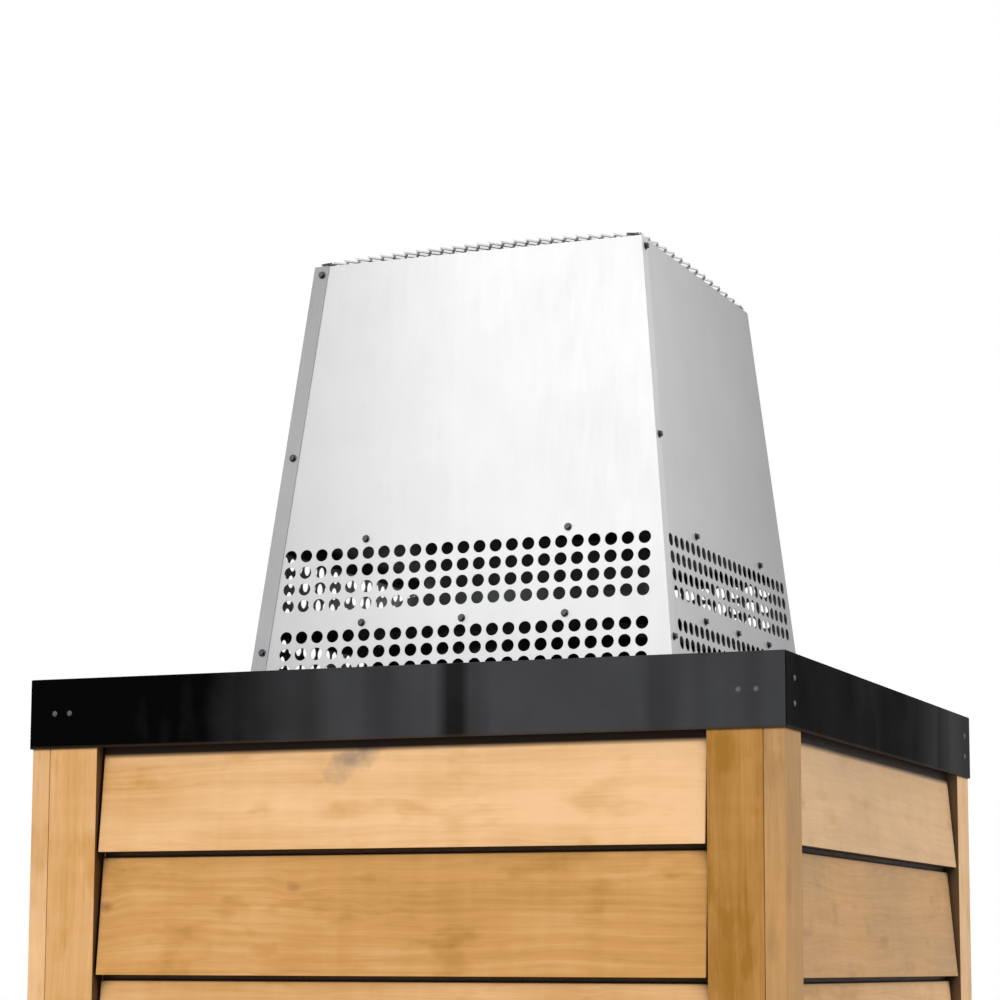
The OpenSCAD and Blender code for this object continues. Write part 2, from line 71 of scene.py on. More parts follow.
# Points closer than this are one point, and points closer to a plane lie on it, in metres.
SAME_POINT = 1e-6
ON_PLANE = 1e-5
# Nearly all values of a noise texture lie between these two.
NOISE_LOW = 0.3
NOISE_HIGH = 0.7


def nodes_in_slot(slot):
    """Names of the CAD nodes whose record slot is this one, in a fixed order."""
    return sorted(name for name, given in NODE_SLOT.items() if given == slot)


# Sizes and colours -----------------------------------------------------------


def colour_property(name, description, default):
    return bpy.props.FloatVectorProperty(
        name=name, description=description, subtype="COLOR", size=3, min=0, max=1,
        default=default)


def length_property(name, description, default):
    return bpy.props.FloatProperty(
        name=name, description=description, unit="LENGTH", subtype="DISTANCE", default=default)


def angle_property(name, description, degrees):
    return bpy.props.FloatProperty(
        name=name, description=description, unit="ROTATION", subtype="ANGLE",
        default=math.radians(degrees))


def share_property(name, description, default, most=1.0):
    return bpy.props.FloatProperty(
        name=name, description=description, subtype="FACTOR", min=0, max=most,
        default=default)


class CedarSettings(bpy.types.PropertyGroup):
    """Colours of the wood, its marks, and the painted shade in its joints and below the cover"""

    pale: colour_property("Pale wood", "Lightest cedar", (0.93, 0.585, 0.300))
    honey: colour_property("Honey wood", "Middle cedar", (0.66, 0.34, 0.106))
    amber: colour_property("Amber wood", "Darkest cedar", (0.36, 0.162, 0.017))
    silver: colour_property("Weathered wood", "Cedar bleached by the sun", (0.60, 0.46, 0.32))
    knot: colour_property("Knots", "Middle of a knot", (0.26, 0.105, 0.035))
    # Painted shade: near black put in joints and recesses, on undersides, below the skirt and on
    # corner boards' edges beside the siding.
    painted_shade_colour: colour_property("Grime", "Dirt in the joints and below boards", (0.010, 0.004, 0.002))
    shade_reach: length_property("Grime reach", "How far dirt creeps out of a joint", 0.028)
    # Painted shadow: a near black strip on the siding just below the skirt.
    skirt_shadow: length_property("Drip stain", "Dark strip on the siding below the skirt", 0.0095)
    scuff: colour_property("Scuff", "Grey mark on the top board", (0.25, 0.19, 0.15))
    scuff_side: length_property("Scuff place", "From the middle of the front", -0.046)
    scuff_drop: length_property("Scuff drop", "Below the cover's skirt", 0.017)
    scuff_long: length_property("Scuff length", "Half the length of the mark", 0.056)
    scuff_wide: length_property("Scuff width", "Half the width of the mark", 0.020)
    scuff_slant: angle_property("Scuff slant", "How steeply the mark climbs to the right", 30)
    scuff_strength: share_property("Scuff strength", "How much of the wood it covers", 0.85)
    lumber: colour_property("Framing lumber", "Sawn spruce", (0.78, 0.60, 0.38))
    lumber_dark: colour_property("Framing grain", "Dark grain of the spruce", (0.52, 0.33, 0.16))
    plywood: colour_property("Sheathing", "Face of the plywood", (0.60, 0.42, 0.24))
    plywood_dark: colour_property("Sheathing grain", "Dark grain of plywood", (0.36, 0.22, 0.11))
    ease: length_property("Eased edge", "Width of the eased edge of a board", 0.0012)


class SheetSettings(bpy.types.PropertyGroup):
    """Colours of the sheet metal, its folds and the streak on the skirt"""

    black: colour_property("Black enamel", "Fresh enamel", (0.0015, 0.0015, 0.0018))
    # Painted sheen: a lighter grey that stands in for the enamel's reflection.
    painted_sheen: colour_property("Chalked enamel", "Enamel dulled by the sun", (0.058, 0.059, 0.062))
    # Painted reflection: the brown of the wood, mirrored in the skirt's hem.
    hem_reflection: colour_property("Hem stain", "Brown stain along the skirt's hem", (0.060, 0.034, 0.020))
    hood: colour_property("Hood sheet", "Stainless sheet of the hood", (0.49, 0.49, 0.492))
    # Painted light: the front panel gets this lighter copy of the hood sheet.
    bright: colour_property("Hood front sheet", "Brightest sheet", (0.565, 0.565, 0.567))
    # Painted shade: a darker copy of the hood sheet for the left panel's flange.
    shaded_flange: colour_property("Hood flange", "Dull sheet at the left corner", (0.27, 0.27, 0.275))
    # Painted shade: the inner sheet, the flue and the zinc are near black, for the shade inside
    # the hood and the chase.
    inside: colour_property("Inner sheet", "Sooted sheet inside the hood", (0.028, 0.028, 0.028))
    flue: colour_property("Flue sheet", "Stainless sheet of the flue", (0.07, 0.07, 0.07))
    zinc: colour_property("Galvanised sheet", "Zinc on pipes and brackets", (0.10, 0.103, 0.106))
    screw: colour_property("Screws", "Darkened screws and washers", (0.07, 0.07, 0.075))
    rivet: colour_property("Rivets", "Rivets with worn enamel", (0.11, 0.11, 0.113))
    clip: colour_property("Corner washers", "Plated washers of the screen", (0.85, 0.85, 0.85))
    fold: length_property("Fold radius", "Radius of the cover's bent edges", 0.0015)
    # A darker vertical stripe on the front, where the painted sheen is taken away.
    stripe_side: length_property("Water run", "Dark streak, from the middle of the front", 0.087)
    stripe_half: length_property("Water run width", "Half the width of the dark streak", 0.029)


class ScreenSettings(bpy.types.PropertyGroup):
    """Sizes of the expanded metal"""

    across: length_property("Opening width", "Mesh opening from left to right", 0.0172)
    along: length_property("Opening length", "Mesh opening from front to back", 0.0328)
    strand_w: length_property("Strand width", "Width of a strand", 0.0037)
    strand_t: length_property("Strand thickness", "Thickness of a strand", 0.0015)
    tilt: angle_property("Strand tilt", "Turn of the strands out of the sheet", 48)
    colour: colour_property("Mesh", "Expanded metal", (0.60, 0.60, 0.60))
    dome: share_property("Dome", "Share of the room above its edge that it fills", 0.80)


class StageSettings(bpy.types.PropertyGroup):
    """Camera, floor and lamps"""

    camera_side: length_property("Camera to the right", "From the middle of the chase", 1.3595)
    camera_distance: length_property("Camera distance", "In front of the cover's front", 2.9814)
    camera_height: length_property("Camera height", "Above the floor", 0.1755)
    camera_yaw: angle_property("Camera turn", "To the left of straight ahead", 22.178)
    camera_pitch: angle_property("Camera tilt", "Upwards from level", 7.367)
    camera_roll: angle_property("Camera roll", "Anticlockwise", 0.181)
    camera_lens: bpy.props.FloatProperty(
        name="Lens", description="Focal length on a 36 mm sensor", unit="CAMERA", default=99.80)
    camera_rise: share_property("Lens rise", "Upward shift as a share of the width", 0.1051)
    floor: colour_property("Floor", "Plain pale floor", (0.90, 0.90, 0.90))
    floor_radius: length_property("Floor radius", "Half the width of the floor", 14.0)
    ambient: share_property("Surrounding light", "Strength of the surroundings", 0.38)
    key: share_property("Key light", "Strength of the light from the front", 1.45, 5.0)
    fill: share_property("Fill light", "Strength of the light from the right", 0.9, 5.0)
    rear: share_property("Rear light", "Strength of the light from behind", 0.8, 5.0)


# Node tools ------------------------------------------------------------------


def feed(tree, value, socket):
    """Links a socket, or sets a plain value."""
    if isinstance(value, bpy.types.NodeSocket):
        tree.links.new(value, socket)
    else:
        socket.default_value = value


def add(tree, kind, inputs=None, **settings):
    """Adds a node, sets it up and feeds its inputs."""
    made = tree.nodes.new(kind)
    for key, value in settings.items():
        setattr(made, key, value)
    for key, value in (inputs or {}).items():
        feed(tree, value, made.inputs[key])
    return made


def maths(tree, operation, a, b=0.0, c=0.0, clamp=False):
    made = add(tree, "ShaderNodeMath", {0: a, 1: b, 2: c}, operation=operation, use_clamp=clamp)
    return made.outputs[0]


def total(tree, *values):
    """Sum of several values, kept between 0 and 1."""
    result = values[0]
    for value in values[1:]:
        result = maths(tree, "ADD", result, value)
    return maths(tree, "ADD", result, 0.0, clamp=True)


def remap(tree, value, low, high, to_low=0.0, to_high=1.0):
    made = add(tree, "ShaderNodeMapRange", {
        "Value": value, "From Min": low, "From Max": high,
        "To Min": to_low, "To Max": to_high})
    return made.outputs["Result"]


def spread(tree, value, low, high):
    """Spreads the usual values of a noise over low to high."""
    return remap(tree, value, NOISE_LOW, NOISE_HIGH, low, high)


def blend(tree, factor, a, b, mode="MIX"):
    made = add(tree, "ShaderNodeMix", data_type="RGBA", blend_type=mode)
    sockets = {socket.identifier: socket for socket in made.inputs}
    feed(tree, factor, sockets["Factor_Float"])
    feed(tree, a, sockets["A_Color"])
    feed(tree, b, sockets["B_Color"])
    return next(s for s in made.outputs if s.identifier == "Result_Color")


def noise(tree, vector, scale, detail=2.0, roughness=0.5):
    made = add(tree, "ShaderNodeTexNoise", {
        "Vector": vector, "Scale": scale, "Detail": detail, "Roughness": roughness})
    return made.outputs["Fac"]


def stretch(tree, vector, scale):
    """Scales a coordinate along each axis."""
    made = add(tree, "ShaderNodeMapping", {"Vector": vector, "Scale": scale})
    return made.outputs["Vector"]


def split(tree, vector):
    return add(tree, "ShaderNodeSeparateXYZ", {"Vector": vector}).outputs


def rgba(colour):
    return (*colour, 1.0)


def new_group(name, inputs, outputs):
    """An empty shader node group; returns its tree, its inputs and its outputs."""
    tree = bpy.data.node_groups.new(name, "ShaderNodeTree")
    for label, kind in inputs:
        tree.interface.new_socket(name=label, in_out="INPUT", socket_type=kind)
    for label in outputs:
        tree.interface.new_socket(name=label, in_out="OUTPUT", socket_type="NodeSocketFloat")
    source = tree.nodes.new("NodeGroupInput")
    target = tree.nodes.new("NodeGroupOutput")
    return tree, source.outputs, target.inputs


def place_group(tree, build, name, inputs):
    """Places the group of that name, built the first time it is asked for."""
    made = add(tree, "ShaderNodeGroup", node_tree=bpy.data.node_groups.get(name) or build(name))
    for key, value in inputs.items():
        feed(tree, value, made.inputs[key])
    return made.outputs


def cedar_grain(name):
    """Grain of a board whose length runs along X, with stretches in cycles per metre."""
    tree, given, out = new_group(
        name,
        [("Coordinate", "NodeSocketVector"), ("Seed", "NodeSocketFloat")],
        ["Streaks", "Fibre", "Knots", "Smears", "Patches", "Planer"])
    # Each board shows another part of the endless pattern.
    seed = given["Seed"]
    shift = add(tree, "ShaderNodeCombineXYZ", {
        "X": maths(tree, "MULTIPLY", seed, 3.17),
        "Y": maths(tree, "MULTIPLY", seed, 1.31),
        "Z": maths(tree, "MULTIPLY", seed, 0.77)}).outputs[0]
    moved = add(tree, "ShaderNodeVectorMath", {0: given["Coordinate"], 1: shift},
                operation="ADD").outputs[0]

    # Some cells hold a ragged knot of their own size.
    cells = add(tree, "ShaderNodeTexVoronoi", {
        "Vector": stretch(tree, moved, (0.7, 0.3, 1.0)), "Scale": 12.0})
    dice = add(tree, "ShaderNodeSeparateColor", {"Color": cells.outputs["Color"]})
    chosen = remap(tree, dice.outputs["Red"], 0.36, 0.60)
    size = remap(tree, dice.outputs["Green"], 0.0, 1.0, 0.05, 0.13)
    rough = noise(tree, stretch(tree, moved, (60, 60, 90)), 1.0)
    ragged = remap(tree, rough, 0.0, 1.0, -0.04, 0.04)
    distance = maths(tree, "ADD", cells.outputs["Distance"], ragged)
    spot = remap(tree, maths(tree, "DIVIDE", distance, size), 1.0, 0.25)
    knots = maths(tree, "MULTIPLY", spot, chosen)
    swirl = maths(tree, "MULTIPLY", remap(tree, distance, 0.30, 0.0), chosen)

    # The growth rings drift up and down and bow around the knots.
    parts = split(tree, moved)
    drift = noise(tree, stretch(tree, moved, (2.2, 6.0, 9.0)), 1.0, 2.0)
    height = maths(tree, "MULTIPLY_ADD", drift, 0.05,
                   maths(tree, "MULTIPLY_ADD", swirl, 0.010, parts["Z"]))
    bowed = add(tree, "ShaderNodeCombineXYZ", {
        "X": parts["X"], "Y": parts["Y"], "Z": height}).outputs[0]
    streaks = noise(tree, stretch(tree, bowed, (1.1, 60.0, 95.0)), 1.0, 3.0, 0.55)
    fibre = noise(tree, stretch(tree, bowed, (14.0, 420.0, 420.0)), 1.0, 3.0, 0.6)
    smudged = noise(tree, stretch(tree, moved, (11, 20, 26)), 1.0, 3.0, 0.5)
    smears = remap(tree, smudged, 0.56, 0.72)
    patches = noise(tree, stretch(tree, moved, (4.0, 8.0, 11.0)), 1.0, 4.0, 0.6)
    planer = noise(tree, stretch(tree, moved, (42.0, 2.0, 2.0)), 1.0, 2.0)
    feed(tree, streaks, out["Streaks"])
    feed(tree, fibre, out["Fibre"])
    feed(tree, knots, out["Knots"])
    feed(tree, smears, out["Smears"])
    feed(tree, patches, out["Patches"])
    feed(tree, planer, out["Planer"])
    return tree


def sheet_surface(name):
    """Smudges, slow waves, fine brushing and rain streaks of sheet metal."""
    tree, given, out = new_group(
        name,
        [("Coordinate", "NodeSocketVector"), ("Smudge Size", "NodeSocketFloat"),
         ("Brushing", "NodeSocketVector")],
        ["Smudges", "Waves", "Brushed", "Streaks"])
    coordinate = given["Coordinate"]
    brushing = add(tree, "ShaderNodeVectorMath", {0: coordinate, 1: given["Brushing"]},
                   operation="MULTIPLY").outputs[0]
    waving = stretch(tree, coordinate, (5, 5, 1.6))
    running = stretch(tree, coordinate, (13, 13, 0.8))
    feed(tree, noise(tree, coordinate, given["Smudge Size"], 4.0, 0.6), out["Smudges"])
    feed(tree, noise(tree, waving, 1.0, 1.0, 0.4), out["Waves"])
    feed(tree, noise(tree, brushing, 1.0, 3.0, 0.6), out["Brushed"])
    feed(tree, noise(tree, running, 1.0, 2.0), out["Streaks"])
    return tree


def new_material(name):
    """An empty material with its shader; returns material, tree, shader, coordinates."""
    material = bpy.data.materials.new(name)
    material.use_nodes = True
    tree = material.node_tree
    tree.nodes.clear()
    shader = tree.nodes.new("ShaderNodeBsdfPrincipled")
    output = tree.nodes.new("ShaderNodeOutputMaterial")
    tree.links.new(shader.outputs["BSDF"], output.inputs["Surface"])
    return material, tree, shader, tree.nodes.new("ShaderNodeTexCoord").outputs


def bump(tree, shader, height, strength, distance):
    made = add(tree, "ShaderNodeBump", {
        "Height": height, "Strength": strength, "Distance": distance})
    tree.links.new(made.outputs["Normal"], shader.inputs["Normal"])


def finish_with(piece, material):
    """Puts one material on every face of a piece or CAD node."""
    if piece.data.materials:
        for index in range(len(piece.data.materials)):
            piece.data.materials[index] = material
    else:
        piece.data.materials.append(material)


def finish_nodes(names, material):
    for name in names:
        finish_with(frame["nodes"][name], material)


# Pieces that stand for CAD nodes ----------------------------------------------


def new_piece(name, mesh, material, node):
    """Turns a bmesh into a piece that stands for a CAD node."""
    data = bpy.data.meshes.new(name)
    mesh.to_mesh(data)
    mesh.free()
    piece = bpy.data.objects.new(name, data)
    bpy.context.scene.collection.objects.link(piece)
    finish_with(piece, material)
    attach(piece, NODE_BODY[node])
    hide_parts(node)
    return piece


def eased_copy(node, suffix, material, width, segments, wanted=None):
    """A merged copy of a CAD node with its sharp edges, or the wanted ones, rounded."""
    mesh = bmesh.new()
    mesh.from_mesh(frame["nodes"][node].data)
    bmesh.ops.remove_doubles(mesh, verts=mesh.verts, dist=SAME_POINT)
    bmesh.ops.dissolve_limit(
        mesh, angle_limit=FLAT_ANGLE, verts=mesh.verts, edges=mesh.edges)
    bmesh.ops.recalc_face_normals(mesh, faces=mesh.faces)
    sharp = [e for e in mesh.edges if e.is_manifold and e.calc_face_angle() > SHARP_ANGLE]
    if wanted:
        sharp = [e for e in sharp if wanted(e)]
    bmesh.ops.bevel(
        mesh, geom=sharp, offset=width, offset_type="OFFSET", affect="EDGES",
        segments=segments, profile=0.5, material=-1, clamp_overlap=True)
    return new_piece(node + suffix, mesh, material, node)


# Wood ------------------------------------------------------------------------

# Turns that bring a board's length onto X.
LENGTH_ON_X = {
    "x": (0.0, 0.0, 0.0),
    "y": (0.0, 0.0, -math.pi / 2),
    "z": (0.0, math.pi / 2, 0.0),
}
# The boards that tell most: tone at both ends, from pale 0 to amber 1, and weathering.
BOARD_TONES = {
    "front_siding_upper": (0.31, -0.03, 0.0),
    "front_siding_middle": (0.47, 0.56, 0.0),
    "front_siding_lower": (0.34, 0.30, 0.0),
    "right_siding_upper": (0.24, 0.24, 0.40),
    "right_siding_middle": (0.65, 0.60, 0.30),
    "front_corner_board_left": (0.34, 0.34, 0.0),
    "front_corner_board_right": (0.85, 0.88, 0.0),
    "right_corner_board_left": (0.79, 0.76, 0.20),
    "right_corner_board_right": (0.15, 0.15, 0.25),
}
# Where the same three values of the other boards are drawn from.
TONE_RANGES = ((0.1, 0.55), (0.1, 0.55), (0.1, 0.35))
# How far the pattern moves on from board to board.
FIRST_SEED = 1.0
SEED_STEP = 0.83
LUMBER_SEED = 2.0
PLYWOOD_SEED = 5.0
# Openness of a place, from 1 in the open to 0: where painted shade sets in, and where it is full.
SHADE_SETS_IN = 0.76
SHADE_IS_FULL = 0.46
# Height over which the painted shadow below the skirt fades out, below and above its edge.
SKIRT_SHADOW_FADE = (0.004, 0.002)


def grey_scuff(tree, place, cedar):
    """Mask of the grey mark that runs down to the left from the cover's skirt."""
    middle = (cedar.scuff_side, COVER_LOW.y, COVER_LOW.z - cedar.scuff_drop)
    own = add(tree, "ShaderNodeMapping", {
        "Vector": place, "Location": middle, "Rotation": (0.0, -cedar.scuff_slant, 0.0),
        "Scale": (cedar.scuff_long, 10.0, cedar.scuff_wide)}, vector_type="TEXTURE")
    reach = add(tree, "ShaderNodeVectorMath", {0: own.outputs["Vector"]}, operation="LENGTH")
    ragged = spread(tree, noise(tree, place, 55.0, 2.0, 0.5), -0.30, 0.30)
    edge = maths(tree, "ADD", reach.outputs["Value"], ragged)
    return remap(tree, edge, 1.10, 0.0, 0.0, cedar.scuff_strength)


def joint_side(board):
    """The way that a corner board's narrow edge faces its siding, or None."""
    if NODE_SLOT[board] != "cedar_corner_board":
        return None
    low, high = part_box(board)
    size = high - low
    wide = 0 if size.x > size.y else 1
    way = Vector((0.0, 0.0, 0.0))
    way[wide] = -1.0 if low[wide] + high[wide] > 0 else 1.0
    return way


def painted_shade_mask(tree, coordinates, board, cedar):
    """Mask of painted shade: in joints and recesses, on faces that look down, in a band below the
    skirt, and on corner boards' edges beside the siding.
    """
    openness = add(tree, "ShaderNodeAmbientOcclusion", {"Distance": cedar.shade_reach}, samples=12)
    # Painted shade in creases, recesses and joints, from the ambient occlusion.
    crevice = remap(tree, openness.outputs["AO"], SHADE_SETS_IN, SHADE_IS_FULL, 0.0, 0.98)
    normal = coordinates["Normal"]
    # Painted shade on faces that look down.
    underside = remap(tree, split(tree, normal)["Z"], -0.4, -0.9, 0.0, 0.97)
    painted_shade = maths(tree, "MAXIMUM", crevice, underside)
    way = joint_side(board)
    if way is None:
        # Painted shadow: a band on the siding just below the skirt.
        edge = COVER_LOW.z - cedar.skirt_shadow
        below, above = SKIRT_SHADOW_FADE
        height = split(tree, coordinates["Object"])["Z"]
        painted_band = remap(tree, height, edge - below, edge + above, 0.0, 0.99)
        painted_shade = maths(tree, "MAXIMUM", painted_shade, painted_band)
    else:
        # Painted shade on a corner board's edge that faces the siding.
        facing = add(tree, "ShaderNodeVectorMath", {0: normal, 1: way}, operation="DOT_PRODUCT")
        side = remap(tree, facing.outputs["Value"], 0.5, 0.9, 0.0, 0.80)
        painted_shade = maths(tree, "MAXIMUM", painted_shade, side)
    return painted_shade


def cedar_material(board, tones, bleach, seed, axis, scuffed=False):
    """Oiled cedar of one board: its tone, weathering, knots, marks and painted shade."""
    cedar = bpy.context.scene.chase_cedar
    material, tree, shader, coordinates = new_material("cedar_" + board)
    place = coordinates["Object"]
    low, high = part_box(board)
    number = "xyz".index(axis)
    tone = remap(tree, split(tree, place)[number], low[number], high[number], *tones)
    turned = add(tree, "ShaderNodeMapping", {
        "Vector": place, "Rotation": LENGTH_ON_X[axis]}).outputs["Vector"]
    grain = place_group(tree, cedar_grain, "Cedar Grain", {"Coordinate": turned, "Seed": seed})
    shade = total(
        tree, tone,
        spread(tree, grain["Patches"], -0.14, 0.14),
        spread(tree, grain["Streaks"], -0.09, 0.09),
        spread(tree, grain["Fibre"], -0.05, 0.05),
        spread(tree, grain["Planer"], -0.03, 0.03),
        maths(tree, "MULTIPLY", grain["Smears"], 0.22))
    ramp = add(tree, "ShaderNodeValToRGB", {"Fac": shade})
    stops = ramp.color_ramp.elements
    stops[0].color = rgba(cedar.pale)
    stops[1].color = rgba(cedar.amber)
    stops.new(0.5).color = rgba(cedar.honey)
    greyed = spread(tree, grain["Patches"], bleach * 0.7, min(bleach * 1.3, 1.0))
    colour = blend(tree, greyed, ramp.outputs["Color"], rgba(cedar.silver))
    colour = blend(tree, maths(tree, "MULTIPLY", grain["Knots"], 0.60), colour, rgba(cedar.knot))
    if scuffed:
        colour = blend(tree, grey_scuff(tree, place, cedar), colour, rgba(cedar.scuff))
    # Painted shade: near black mixed in where the mask is high.
    painted_shade = painted_shade_mask(tree, coordinates, board, cedar)
    tree.links.new(blend(tree, painted_shade, colour, rgba(cedar.painted_shade_colour)), shader.inputs["Base Color"])
    tree.links.new(spread(tree, grain["Fibre"], 0.54, 0.70), shader.inputs["Roughness"])
    shader.inputs["Specular IOR Level"].default_value = 0.2
    relief = maths(tree, "ADD", grain["Fibre"], grain["Streaks"])
    bump(tree, shader, relief, 0.25, 0.0003)
    return material


def board_axis(name):
    """The axis that a board is longest along."""
    low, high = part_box(name)
    size = high - low
    return "xyz"[max(range(3), key=lambda i: size[i])]


class CHASE_OT_boards(bpy.types.Operator):
    """Make the cedar siding, corner boards and starter strips"""

    bl_idname = "chase.boards"
    bl_label = "Cedar Boards"

    def execute(self, context):
        chance = random.Random(7)
        width = context.scene.chase_cedar.ease
        names = nodes_in_slot("cedar_siding") + nodes_in_slot("cedar_corner_board")
        for number, name in enumerate(names):
            drawn = [chance.uniform(low, high) for low, high in TONE_RANGES]
            *tones, bleach = BOARD_TONES.get(name, drawn)
            strips = name == "starter_strips"
            axis = "x" if strips else board_axis(name)
            seed = FIRST_SEED + number * SEED_STEP
            scuffed = name == "front_siding_upper"
            material = cedar_material(name, tones, bleach, seed, axis, scuffed)
            if strips:
                finish_with(frame["nodes"][name], material)
            else:
                eased_copy(name, "_board", material, width, 2)
        return {"FINISHED"}


def lumber_material(name, colour, dark, seed):
    """Raw wood that is out of sight behind the siding."""
    material, tree, shader, coordinates = new_material(name)
    grain = place_group(tree, cedar_grain, "Cedar Grain", {
        "Coordinate": coordinates["Object"], "Seed": seed})
    shade = total(tree, spread(tree, grain["Streaks"], 0.0, 0.5),
                  spread(tree, grain["Fibre"], 0.0, 0.4))
    body = blend(tree, shade, rgba(colour), rgba(dark))
    knotted = blend(tree, maths(tree, "MULTIPLY", grain["Knots"], 0.8), body, rgba(dark))
    tree.links.new(knotted, shader.inputs["Base Color"])
    tree.links.new(spread(tree, grain["Fibre"], 0.6, 0.75), shader.inputs["Roughness"])
    bump(tree, shader, grain["Fibre"], 0.4, 0.0005)
    return material


class CHASE_OT_framing(bpy.types.Operator):
    """Finish the framing lumber and the sheathing"""

    bl_idname = "chase.framing"
    bl_label = "Framing and Sheathing"

    def execute(self, context):
        cedar = context.scene.chase_cedar
        lumber = lumber_material(
            "framing_lumber", cedar.lumber, cedar.lumber_dark, LUMBER_SEED)
        board = lumber_material(
            "sheathing_board", cedar.plywood, cedar.plywood_dark, PLYWOOD_SEED)
        finish_nodes(nodes_in_slot("framing_lumber"), lumber)
        finish_nodes(nodes_in_slot("sheathing_board"), board)
        return {"FINISHED"}


# Sheet metal -----------------------------------------------------------------

# Where the painted sheen sets in and is full: shares of the cover's width on its front and
# back, and of its depth on its sides.
FRONT_SHEEN = (0.24, 0.46)
SIDE_SHEEN = (0.66, 0.90)
# The painted reflection of the wood along the skirt's hem: where it begins and is full, above the
# lower edge.
HEM_FADE = (0.0035, 0.0015)
# Brushing of the sheets, in cycles per metre along each axis.
BRUSHED_UPWARDS = (120.0, 120.0, 8.0)
BRUSHED_PIPE = (160.0, 160.0, 3.0)
BRUSHED_WIRE = (200.0, 200.0, 200.0)
FINE_BRUSHING = (90.0, 90.0, 90.0)
SPANGLED = (40.0, 40.0, 40.0)
ENAMELLED = (30.0, 30.0, 30.0)
SMUDGE_SIZE = 9.0
SPANGLE_SIZE = 45.0
# Painted light and shade along three hood panels: where it begins and ends, as shares of the
# panel's own limits, and the shade at each. The front's two places are shares of its left limit,
# and the others' are shares of their nearer or lower limit and of their far or upper one.
FRONT_PAINTED_SHADING = (0.95, 0.05, 0.77, 1.0)
RIGHT_PAINTED_SHADING = (0.8, 0.8, 1.05, 0.73)
LEFT_PAINTED_SHADING = (1.0, 1.0, 1.15, 0.90)


def steel_material(name, colour, rough_low, rough_high, brushing, smudge_size=SMUDGE_SIZE,
                   fade=None, shaded_flange=None):
    """Brushed sheet.

    fade gives an axis, two places along it and the painted shade at each; the flange colour is
    a painted darker shade for the faces that look to the front or back.
    """
    material, tree, shader, coordinates = new_material(name)
    surface = place_group(tree, sheet_surface, "Sheet Surface", {
        "Coordinate": coordinates["Object"], "Smudge Size": smudge_size, "Brushing": brushing})
    shade = maths(tree, "MULTIPLY", spread(tree, surface["Smudges"], 0.97, 1.03),
                  remap(tree, surface["Brushed"], 0.2, 0.8, 0.96, 1.04))
    if fade:
        axis, *ends = fade
        along = split(tree, coordinates["Object"])[axis]
        shade = maths(tree, "MULTIPLY", shade, remap(tree, along, *ends))
    plain = rgba(colour)
    if shaded_flange:
        frontal = maths(tree, "ABSOLUTE", split(tree, coordinates["Normal"])["Y"])
        plain = blend(tree, remap(tree, frontal, 0.4, 0.7), plain, rgba(shaded_flange))
    tone = blend(tree, 1.0, plain, shade, "MULTIPLY")
    tree.links.new(tone, shader.inputs["Base Color"])
    tree.links.new(remap(tree, surface["Brushed"], 0.25, 0.75, rough_low, rough_high),
                   shader.inputs["Roughness"])
    shader.inputs["Metallic"].default_value = 1.0
    relief = maths(tree, "MULTIPLY_ADD", surface["Brushed"], 0.02, surface["Waves"])
    bump(tree, shader, relief, 0.2, 0.01)
    return material


def share_of_cover(axis, share):
    """The place that lies this share of the way across the cover."""
    return COVER_LOW[axis] + share * (COVER_HIGH[axis] - COVER_LOW[axis])


def black_material():
    """Black enamel, with a painted sheen that stands in for its reflection, streaks, a darker
    stripe and a painted reflection of the wood along the hem.
    """
    sheet = bpy.context.scene.chase_sheet
    material, tree, shader, coordinates = new_material("black_enamel")
    place = coordinates["Object"]
    surface = place_group(tree, sheet_surface, "Sheet Surface", {
        "Coordinate": place, "Smudge Size": SMUDGE_SIZE, "Brushing": ENAMELLED})
    spot = split(tree, place)
    facing = split(tree, coordinates["Normal"])
    on_side = remap(tree, maths(tree, "ABSOLUTE", facing["X"]), 0.4, 0.6)
    from_x, to_x = (share_of_cover(0, share) for share in FRONT_SHEEN)
    from_y, to_y = (share_of_cover(1, share) for share in SIDE_SHEEN)
    # Painted sheen: growing from the left towards the middle on the front and back, and towards
    # the back on the sides, with streaks.
    front = remap(tree, spot["X"], from_x, to_x, 0.0, 0.95)
    side = remap(tree, spot["Y"], from_y, to_y, 0.03, 0.78)
    sheen_spread = add(tree, "ShaderNodeMix", {0: on_side, 2: front, 3: side}).outputs[0]
    upright = remap(tree, facing["Z"], 0.9, 0.5)
    streaked = remap(tree, surface["Streaks"], 0.38, 0.62, -0.30, 0.12)
    # A darker vertical stripe on the front, where the painted sheen is taken away.
    beside = maths(tree, "ABSOLUTE", maths(tree, "SUBTRACT", spot["X"], sheet.stripe_side))
    beside = maths(tree, "ADD", beside, spread(tree, surface["Waves"], -0.005, 0.005))
    run = remap(tree, beside, sheet.stripe_half, sheet.stripe_half * 0.40, 0.0, -0.78)
    streaked = maths(tree, "MINIMUM", streaked, run)
    painted_sheen = total(
        tree, sheen_spread,
        maths(tree, "MULTIPLY", streaked, upright),
        remap(tree, surface["Smudges"], 0.35, 0.65, -0.07, 0.07))
    colour = blend(tree, painted_sheen, rgba(sheet.black), rgba(sheet.painted_sheen))
    # Painted reflection of the wood: a brown line along the skirt's hem.
    begins, full = HEM_FADE
    hem = remap(tree, spot["Z"], COVER_LOW.z + begins, COVER_LOW.z + full, 0.0, 0.5)
    tree.links.new(blend(tree, hem, colour, rgba(sheet.hem_reflection)), shader.inputs["Base Color"])
    rough = spread(tree, surface["Smudges"], 0.48, 0.62)
    tree.links.new(rough, shader.inputs["Roughness"])
    # Low, so that the enamel doesn't mirror the white surroundings; its sheen is painted into the
    # colour instead.
    shader.inputs["Specular IOR Level"].default_value = 0.007
    bump(tree, shader, surface["Waves"], 0.4, 0.02)
    return material


